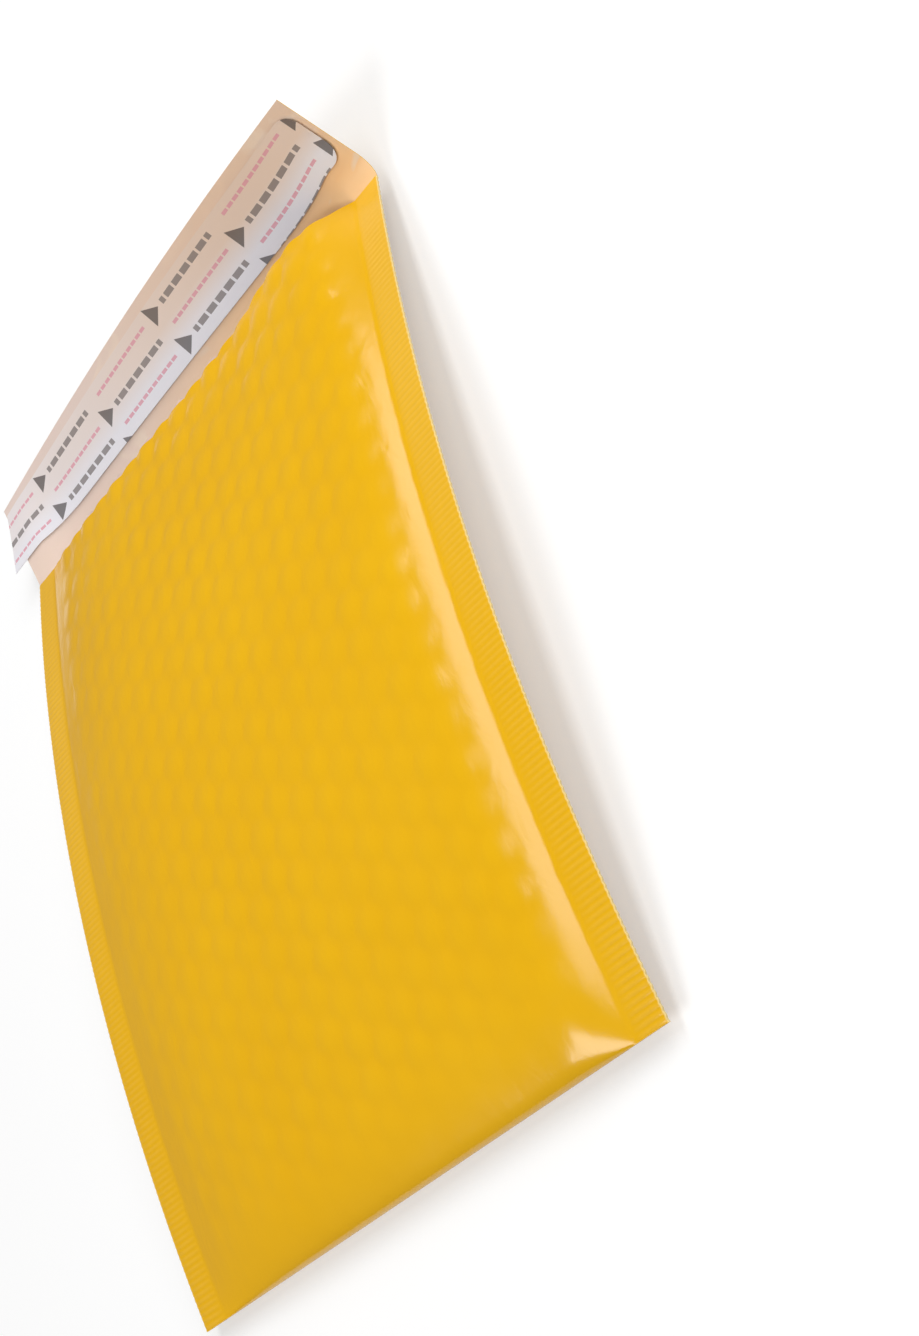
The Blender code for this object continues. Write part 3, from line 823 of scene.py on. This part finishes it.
def makeOuterFilm():
    sheet = Sheet()
    foldRows, foldEnd = outerFilm["foldRows"], outerFilm["foldEnd"]
    fineStep = envelope["bubblePitch"] / outerFilm["stepsPerBubble"]
    fineAcross = between(-innerHalf, innerHalf, columnGap / outerFilm["stepsPerColumn"])
    fineAlong = foldRows + between(foldEnd, pocketLength, fineStep)
    backAcross = between(-innerHalf, innerHalf, outerFilm["wallStep"])
    backAlong = foldRows + between(foldEnd, pocketLength, outerFilm["wallStep"])
    flapAlong = between(0, flapLength, outerFilm["flapStep"])
    ribAlong = between(0, pocketLength, outerFilm["ribPitch"] / outerFilm["stepsPerRib"])
    ribLine = innerHalf + outerFilm["ribMargin"]
    edgeLine = width / 2 - outerFilm["edgeBand"]
    sealAcross = between(ribLine, edgeLine, outerFilm["sealStep"]) + [width / 2]

    def fade(u, s):
        inward = innerHalf - abs(u)
        calm = outerFilm["calmField"]
        strength = calm + (1 - calm) * smooth(1 - inward / outerFilm["calmEase"])
        strength *= 1 - outerFilm["calmLeft"] * smooth(-u / innerHalf)
        strength *= smooth((inward - outerFilm["tautBand"]) / outerFilm["tautEase"])
        return strength * smooth(s / outerFilm["tautFold"])

    def frontOuter(u, s):
        place = drawnIn(u, s, envelope["filmRecess"])
        return frontPoint(u, place, frontHeight(u, place) + film)

    def frontInner(u, s):
        place = drawnIn(u, s, envelope["filmRecess"])
        return frontPoint(u, place, frontHeight(u, place, foldWall))

    def backInner(u, s):
        return backPoint(u, s, backDepth(u, s, foldWall))

    def backOuter(u, s):
        return backPoint(u, s, backDepth(u, s) + film)

    def frontFacts(u, s):
        return u, s, fade(u, s), 0, 0, lumpShare(u)

    def innerFacts(u, s):
        return u, s, 0, 0, 0, lumpShare(u)

    def backFacts(u, s):
        return u, s, -fade(u, s), 0, 0, 0

    def flapFacts(u, v):
        return u, pocketLength + v, 0, 0, 0, 0

    front = sheet.grid(frontOuter, fineAcross, fineAlong, 0, frontFacts)
    back = sheet.grid(backOuter, backAcross, backAlong, 0, backFacts)
    innerAlong = [foldWall + (pocketLength - foldWall) * s / pocketLength for s in backAlong]
    sheet.grid(frontInner, backAcross, innerAlong, 1, innerFacts)
    sheet.grid(backInner, backAcross, innerAlong, 1)
    whole = [-width / 2] + backAcross + [width / 2]
    flapIn = sheet.grid(lambda u, v: flapPoint(u, v, film), whole, flapAlong, 1, flapFacts)
    flapOut = sheet.grid(lambda u, v: flapPoint(u, v, 0), whole, flapAlong)

    for side in (-1, 1):  # crimped seals, ribs on the front and on the back
        outermost, beside = (0, 1) if side < 0 else (-1, -2)
        ribShares = {ribLine: outerFilm["ribStart"], edgeLine: 1.0, width / 2: 0.0}

        def sealFacts(u, s):
            fromMouth = (pocketLength - s) / outerFilm["ribEase"]
            crimp = ribShares.get(u, 1.0) * smooth(fromMouth + outerFilm["ribAtMouth"])
            return side * u, s, 0, crimp, 1.0 if u > edgeLine else 0.0, 0

        over = sheet.grid(lambda u, s: frontPoint(side * u, s, film), sealAcross, ribAlong, 0, sealFacts)
        under = sheet.grid(lambda u, s: backPoint(side * u, s, film), sealAcross, ribAlong, 0, sealFacts)
        cutEdge = side * (width / 2 + outerFilm["edgeRound"])
        cutPoints = [backPoint(cutEdge, s, 0) for s in ribAlong]
        middle = sheet.chain(cutPoints, [sealFacts(width / 2, s) for s in ribAlong])
        sheet.zip(sideOf(front, outermost), fineAlong, sideOf(over, 0), ribAlong)
        sheet.zip(sideOf(back, outermost), backAlong, sideOf(under, 0), ribAlong)
        sheet.strip(sideOf(over, -1), middle)
        sheet.strip(middle, sideOf(under, -1))
        # the seal's end at the crease, and at the fold
        overEnd, underEnd = over[-1], under[-1]
        flapTop = [flapIn[0][beside], flapIn[0][outermost]]
        flapBase = [flapOut[0][beside], flapOut[0][outermost]]
        places = [innerHalf] + sealAcross
        sheet.zip([front[-1][outermost]] + overEnd, places, flapTop, [innerHalf, width / 2])
        sheet.zip([back[-1][outermost]] + underEnd, places, flapBase, [innerHalf, width / 2])
        sheet.face(overEnd[-1], middle[-1], flapTop[1])
        sheet.face(underEnd[-1], middle[-1], flapBase[1])
        sheet.face(middle[-1], flapTop[1], flapBase[1])
        sheet.strip([front[0][outermost]] + over[0], [back[0][outermost]] + under[0])
        sheet.face(over[0][-1], middle[0], under[0][-1])

    sheet.zip(front[0], fineAcross, back[0], backAcross)
    rimFacts = [innerFacts(u, pocketLength) for u in backAcross]
    rim = sheet.chain([frontInner(u, pocketLength) for u in backAcross], rimFacts)
    sheet.zip(front[-1], fineAcross, rim, backAcross)
    for index in (0, -1):
        sheet.strip(sideOf(flapIn, index), sideOf(flapOut, index))
    sheet.strip(flapIn[-1], flapOut[-1])
    made = sheet.build("goldenEnvelopeFilm")
    runTree(made, makePressTree(), {
        "Bubble Pitch": envelope["bubblePitch"],
        "Bubble Relief": outerFilm["bubbleRelief"],
        "Column Gap": columnGap,
        "Relief": mouthLumps["relief"],
        "Depth": mouthLumps["depth"],
        "Back Relief": outerFilm["backRelief"],
        "Slack": outerFilm["slack"],
        "Rib Pitch": outerFilm["ribPitch"],
        "Rib Height": outerFilm["ribHeight"],
        "Serration": outerFilm["serration"],
        "Length": pocketLength,
        "Outer Finish": goldenFilm,
        "Inner Finish": peachInnerFilm,
    })
    return made


filmPiece = makeOuterFilm()
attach(filmPiece, "root")
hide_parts("outer_film")
print("envelope: outer film", len(filmPiece.data.polygons), "faces")


# bubble lining: a thin carrier film with air bubbles standing on it towards the outer film

bubbleLining = {
    "sideGap": 0.002,
    "sideJoin": 2.5,  # in thicknesses of the lining
    "foldGap": 0.0025,
    "foldJoin": 3,
    "corner": 0.012,
    "pocketEdge": 0.010,
    "carrier": 0.00015,
    "bubbleRadius": 0.0046,
    "bubbleRise": 0.0022,
    "bubbleSegments": 12,
    "bubbleRings": 6,
    "acrossStep": 0.003,
    "alongStep": 0.004,
    "foldRows": [0, 0.0006, 0.0015],  # finer rows where the pocket ends
    "foldEnd": 0.003,
    "bubbleMargin": 0.003,
}


def roundedHalf(half, start, along):
    share = clamp(1 - (along - start) / bubbleLining["corner"])
    return half - bubbleLining["corner"] * (1 - math.sqrt(1 - share**2))


liningHalf = innerHalf - bubbleLining["sideGap"]
pocketHalf = liningHalf - bubbleLining["sideJoin"] * envelope["lining"]
pocketStart = bubbleLining["foldGap"] + bubbleLining["foldJoin"] * envelope["lining"]


def pocketOpened(across, along, grow):
    limit = roundedHalf(pocketHalf + grow, pocketStart - grow, along)
    u = clamp(across, -limit, limit)
    fromSide = clamp((limit - abs(u)) / bubbleLining["pocketEdge"])
    fromFold = clamp((along - pocketStart + grow) / bubbleLining["pocketEdge"])
    return u, (1 - (1 - fromSide) ** 2) * math.sqrt(1 - (1 - fromFold) ** 2)


def liningFront(across, along, outward):  # outward is 0 on the pocket's side
    grow = min(outward, bubbleLining["carrier"])
    u, opened = pocketOpened(across, along, grow)
    place = drawnIn(u, along, opened * envelope["liningRecess"])
    height = frontHeight(u, place, foldWall) - envelope["clearance"] - envelope["lining"]
    return frontPoint(u, place, opened * (max(height, 0) + grow) + max(outward - grow, 0))


def liningBack(across, along, outward):
    grow = min(outward, bubbleLining["carrier"])
    u, opened = pocketOpened(across, along, grow)
    depth = backDepth(u, along, foldWall) - envelope["clearance"] - envelope["lining"]
    return backPoint(u, along, opened * (depth + grow) + max(outward - grow, 0))


def makeBubbleTree():  # a flat field of bubbles in staggered columns, before it is bent over the lining
    sizes = ["Bubble Pitch", "Column Gap", "Radius", "Rise", "Columns", "Rows"]
    tree = freshTree("airBubbleField", sizes, ["Finish"])
    given = addNode(tree, "NodeGroupInput").outputs
    pitch, gap, radius = given["Bubble Pitch"], given["Column Gap"], given["Radius"]
    columns, rows = given["Columns"], given["Rows"]
    across = product(tree, calc(tree, "SUBTRACT", columns, 1.0), gap)
    along = product(tree, calc(tree, "SUBTRACT", rows, 1.0), pitch)
    inputs = {"Size X": across, "Size Y": along, "Vertices X": columns, "Vertices Y": rows}
    field = addNode(tree, "GeometryNodeMeshGrid", inputs).outputs[0]
    place = addNode(tree, "GeometryNodeInputPosition").outputs[0]
    parts = addNode(tree, "ShaderNodeSeparateXYZ", {0: place}).outputs
    column = calc(tree, "ROUND", calc(tree, "DIVIDE", parts[0], gap))
    odd = calc(tree, "ABSOLUTE", calc(tree, "MODULO", column, 2.0))
    shift = addNode(tree, "ShaderNodeCombineXYZ", {1: product(tree, odd, pitch, -0.5)}).outputs[0]
    inputs = {"Geometry": field, "Offset": shift}
    staggered = addNode(tree, "GeometryNodeSetPosition", inputs).outputs[0]
    segments, rings = bubbleLining["bubbleSegments"], bubbleLining["bubbleRings"]
    inputs = {"Segments": segments, "Rings": rings, "Radius": 1.0}
    ball = addNode(tree, "GeometryNodeMeshUVSphere", inputs).outputs[0]
    inputs = {0: radius, 1: radius, 2: product(tree, given["Rise"], 0.5)}
    squash = addNode(tree, "ShaderNodeCombineXYZ", inputs).outputs[0]
    inputs = {"Geometry": ball, "Scale": squash}
    flattened = addNode(tree, "GeometryNodeTransform", inputs).outputs[0]
    inputs = {"Points": staggered, "Instance": flattened}
    placed = addNode(tree, "GeometryNodeInstanceOnPoints", inputs).outputs[0]
    finish(tree, placed, [(None, given["Finish"])])
    return tree


def makeRimTree():
    tree = freshTree("liningRim", list(lumpInputs), ["Finish"])
    given = addNode(tree, "NodeGroupInput").outputs
    inputs = {"Geometry": given["Geometry"], "Offset": lumpLift(tree, given)}
    moved = addNode(tree, "GeometryNodeSetPosition", inputs).outputs[0]
    finish(tree, moved, [(None, given["Finish"])])
    return tree


def makeBubbleLining():
    sheet = Sheet()
    carrier = bubbleLining["carrier"]
    across = between(-pocketHalf - carrier, pocketHalf + carrier, bubbleLining["acrossStep"])
    along = [pocketStart - carrier] + [pocketStart + row for row in bubbleLining["foldRows"]]
    along += between(pocketStart + bubbleLining["foldEnd"], pocketLength, bubbleLining["alongStep"])

    def liftedFacts(u, s):
        return u, s, 0, 0, 0, lumpShare(u)

    front = sheet.grid(lambda u, s: liningFront(u, s, carrier), across, along, 0, liftedFacts)
    back = sheet.grid(lambda u, s: liningBack(u, s, carrier), across, along, 0)
    top = sheet.grid(lambda u, s: liningFront(u, s, 0), across, along[1:], 0, liftedFacts)
    bottom = sheet.grid(lambda u, s: liningBack(u, s, 0), across, along[1:], 0)
    sheet.strip(front[-1], top[-1])
    sheet.strip(back[-1], bottom[-1])
    for index in (0, -1):
        sheet.face(front[-1][index], back[-1][index], top[-1][index])
    made = sheet.build("bubbleLiningFilm")

    seed = bpy.data.objects.new("airBubbles", bpy.data.meshes.new("airBubbles"))
    bpy.context.collection.objects.link(seed)
    columns = 2 * int((pocketHalf - bubbleLining["bubbleMargin"]) / columnGap) + 1
    rows = int((pocketLength - pocketStart) / envelope["bubblePitch"])
    runTree(seed, makeBubbleTree(), {
        "Bubble Pitch": envelope["bubblePitch"],
        "Column Gap": columnGap,
        "Radius": bubbleLining["bubbleRadius"],
        "Rise": bubbleLining["bubbleRise"],
        "Columns": columns,
        "Rows": rows,
        "Finish": milkyBubbleFilm,
    })
    flat = [corner.co.copy() for corner in seed.data.vertices]
    edit = bmesh.new()
    edit.from_mesh(made.data)
    lastRow = pocketLength - envelope["lastRow"] * envelope["bubblePitch"]
    offset = lastRow - (rows - 1) * envelope["bubblePitch"] / 2
    for bendOver, factsOf in ((liningFront, liftedFacts), (liningBack, lambda u, s: noFacts)):
        bent = seed.data.copy()
        places = [(point.x, min(point.y + offset, pocketLength)) for point in flat]
        for corner, point, (u, s) in zip(bent.vertices, flat, places):
            corner.co = bendOver(u, s, carrier + bubbleLining["bubbleRise"] / 2 + point.z)
        for name, values in zip(factNames, zip(*[factsOf(u, s) for u, s in places])):
            bent.attributes.new(name, "FLOAT", "POINT").data.foreach_set("value", values)
        edit.from_mesh(bent)
        bpy.data.meshes.remove(bent)
    bmesh.ops.recalc_face_normals(edit, faces=edit.faces)
    edit.to_mesh(made.data)
    edit.free()
    made.data.shade_smooth()
    bpy.data.objects.remove(seed)
    runTree(made, makeRimTree(), {
        "Column Gap": columnGap,
        "Length": pocketLength,
        "Relief": mouthLumps["relief"],
        "Depth": mouthLumps["depth"],
        "Finish": milkyBubbleFilm,
    })
    return made


liningPiece = makeBubbleLining()
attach(liningPiece, "root")
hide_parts("bubble_lining")
print("envelope: bubble lining", len(liningPiece.data.polygons), "faces")


# adhesive and its release liner, on the flap's inner side

flapStrips = {
    "linerFromEdge": 0.003,
    "linerWidth": 0.0174,
    "linerThickness": 0.0002,
    "overhang": 0.0085,
    "slant": 0.010,  # between the corners of the liner's left end
    "slantReach": 0.030,
    "linerInset": 0.002,
    "linerCorner": 0.005,  # radius of the round corners at the right
    "tackWidth": 0.0130,
    "tackThickness": 0.0002,
    "tackInset": 0.006,
    "lap": 0.00015,  # air under the adhesive and under the liner
    "alongStep": 0.003,
    "acrossSteps": 16,
    "cornerSteps": 8,
}


def makeStrip(name, material, columns, limits, lift, thickness, slant=0.0):
    sheet = Sheet()
    shares = between(0, 1, 1 / flapStrips["acrossSteps"])

    def point(u, share, height):
        low, high = limits(u)
        setBack = slant * share * clamp(1 - (u - columns[0]) / flapStrips["slantReach"])
        return flapPoint(u + setBack, low + (high - low) * share, height)

    under = sheet.grid(lambda u, share: point(u, share, lift), columns, shares)
    over = sheet.grid(lambda u, share: point(u, share, lift + thickness), columns, shares)
    for index in (0, -1):
        sheet.strip(sideOf(under, index), sideOf(over, index))
        sheet.strip(under[index], over[index])
    made = sheet.build(name)
    made.data.materials.append(material)
    return made


def layFlat(made, start):  # a map in metres, along the strip and across it
    sheet = made.data.uv_layers.new(name="lie")
    crease = seam(pocketLength)[0]
    for loop in made.data.loops:
        point = made.data.vertices[loop.vertex_index].co
        slope = flapSlope(point.x)
        bent = envelope["flapBend"] / slope * math.sin(slope)
        distance = envelope["flapBend"] + (point.y - crease - bent) / math.cos(slope)
        sheet.data[loop.index].uv = (point.x + width / 2, distance - start)


tackStart = flapLength - flapStrips["linerFromEdge"] - (flapStrips["linerWidth"] + flapStrips["tackWidth"]) / 2
tackHalf = width / 2 - flapStrips["tackInset"]
tackColumns = between(-tackHalf, tackHalf, flapStrips["alongStep"])


def tackLimits(u):
    return tackStart, tackStart + flapStrips["tackWidth"]


tackLift = film + flapStrips["lap"]
tackThickness = flapStrips["tackThickness"]
tackPiece = makeStrip("tackBand", paleTack, tackColumns, tackLimits, tackLift, tackThickness)
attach(tackPiece, "root")
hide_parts("adhesive_strip")

linerRight = width / 2 - flapStrips["linerInset"]
linerHigh = flapLength - flapStrips["linerFromEdge"]
linerLow = linerHigh - flapStrips["linerWidth"]
cornerStart = linerRight - flapStrips["linerCorner"]
cornerTurns = between(0, math.pi / 2, math.pi / 2 / flapStrips["cornerSteps"])
cornerColumns = [cornerStart + flapStrips["linerCorner"] * math.sin(turn) for turn in cornerTurns]
linerColumns = between(-width / 2 - flapStrips["overhang"], cornerStart, flapStrips["alongStep"])
linerColumns = linerColumns[:-1] + cornerColumns


def linerLimits(u):
    past = clamp((u - cornerStart) / flapStrips["linerCorner"])
    cut = flapStrips["linerCorner"] * (1 - math.sqrt(1 - past**2))
    return linerLow + cut, linerHigh - cut


linerLift = tackLift + tackThickness + flapStrips["lap"]
thickness, slant = flapStrips["linerThickness"], flapStrips["slant"]
linerPiece = makeStrip(
    "releaseLinerStrip", printedLiner, linerColumns, linerLimits, linerLift, thickness, slant
)
layFlat(linerPiece, linerLow)
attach(linerPiece, "root")
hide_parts("release_liner")
print("envelope: adhesive and liner")

# the flap measures 34 mm along the sheet
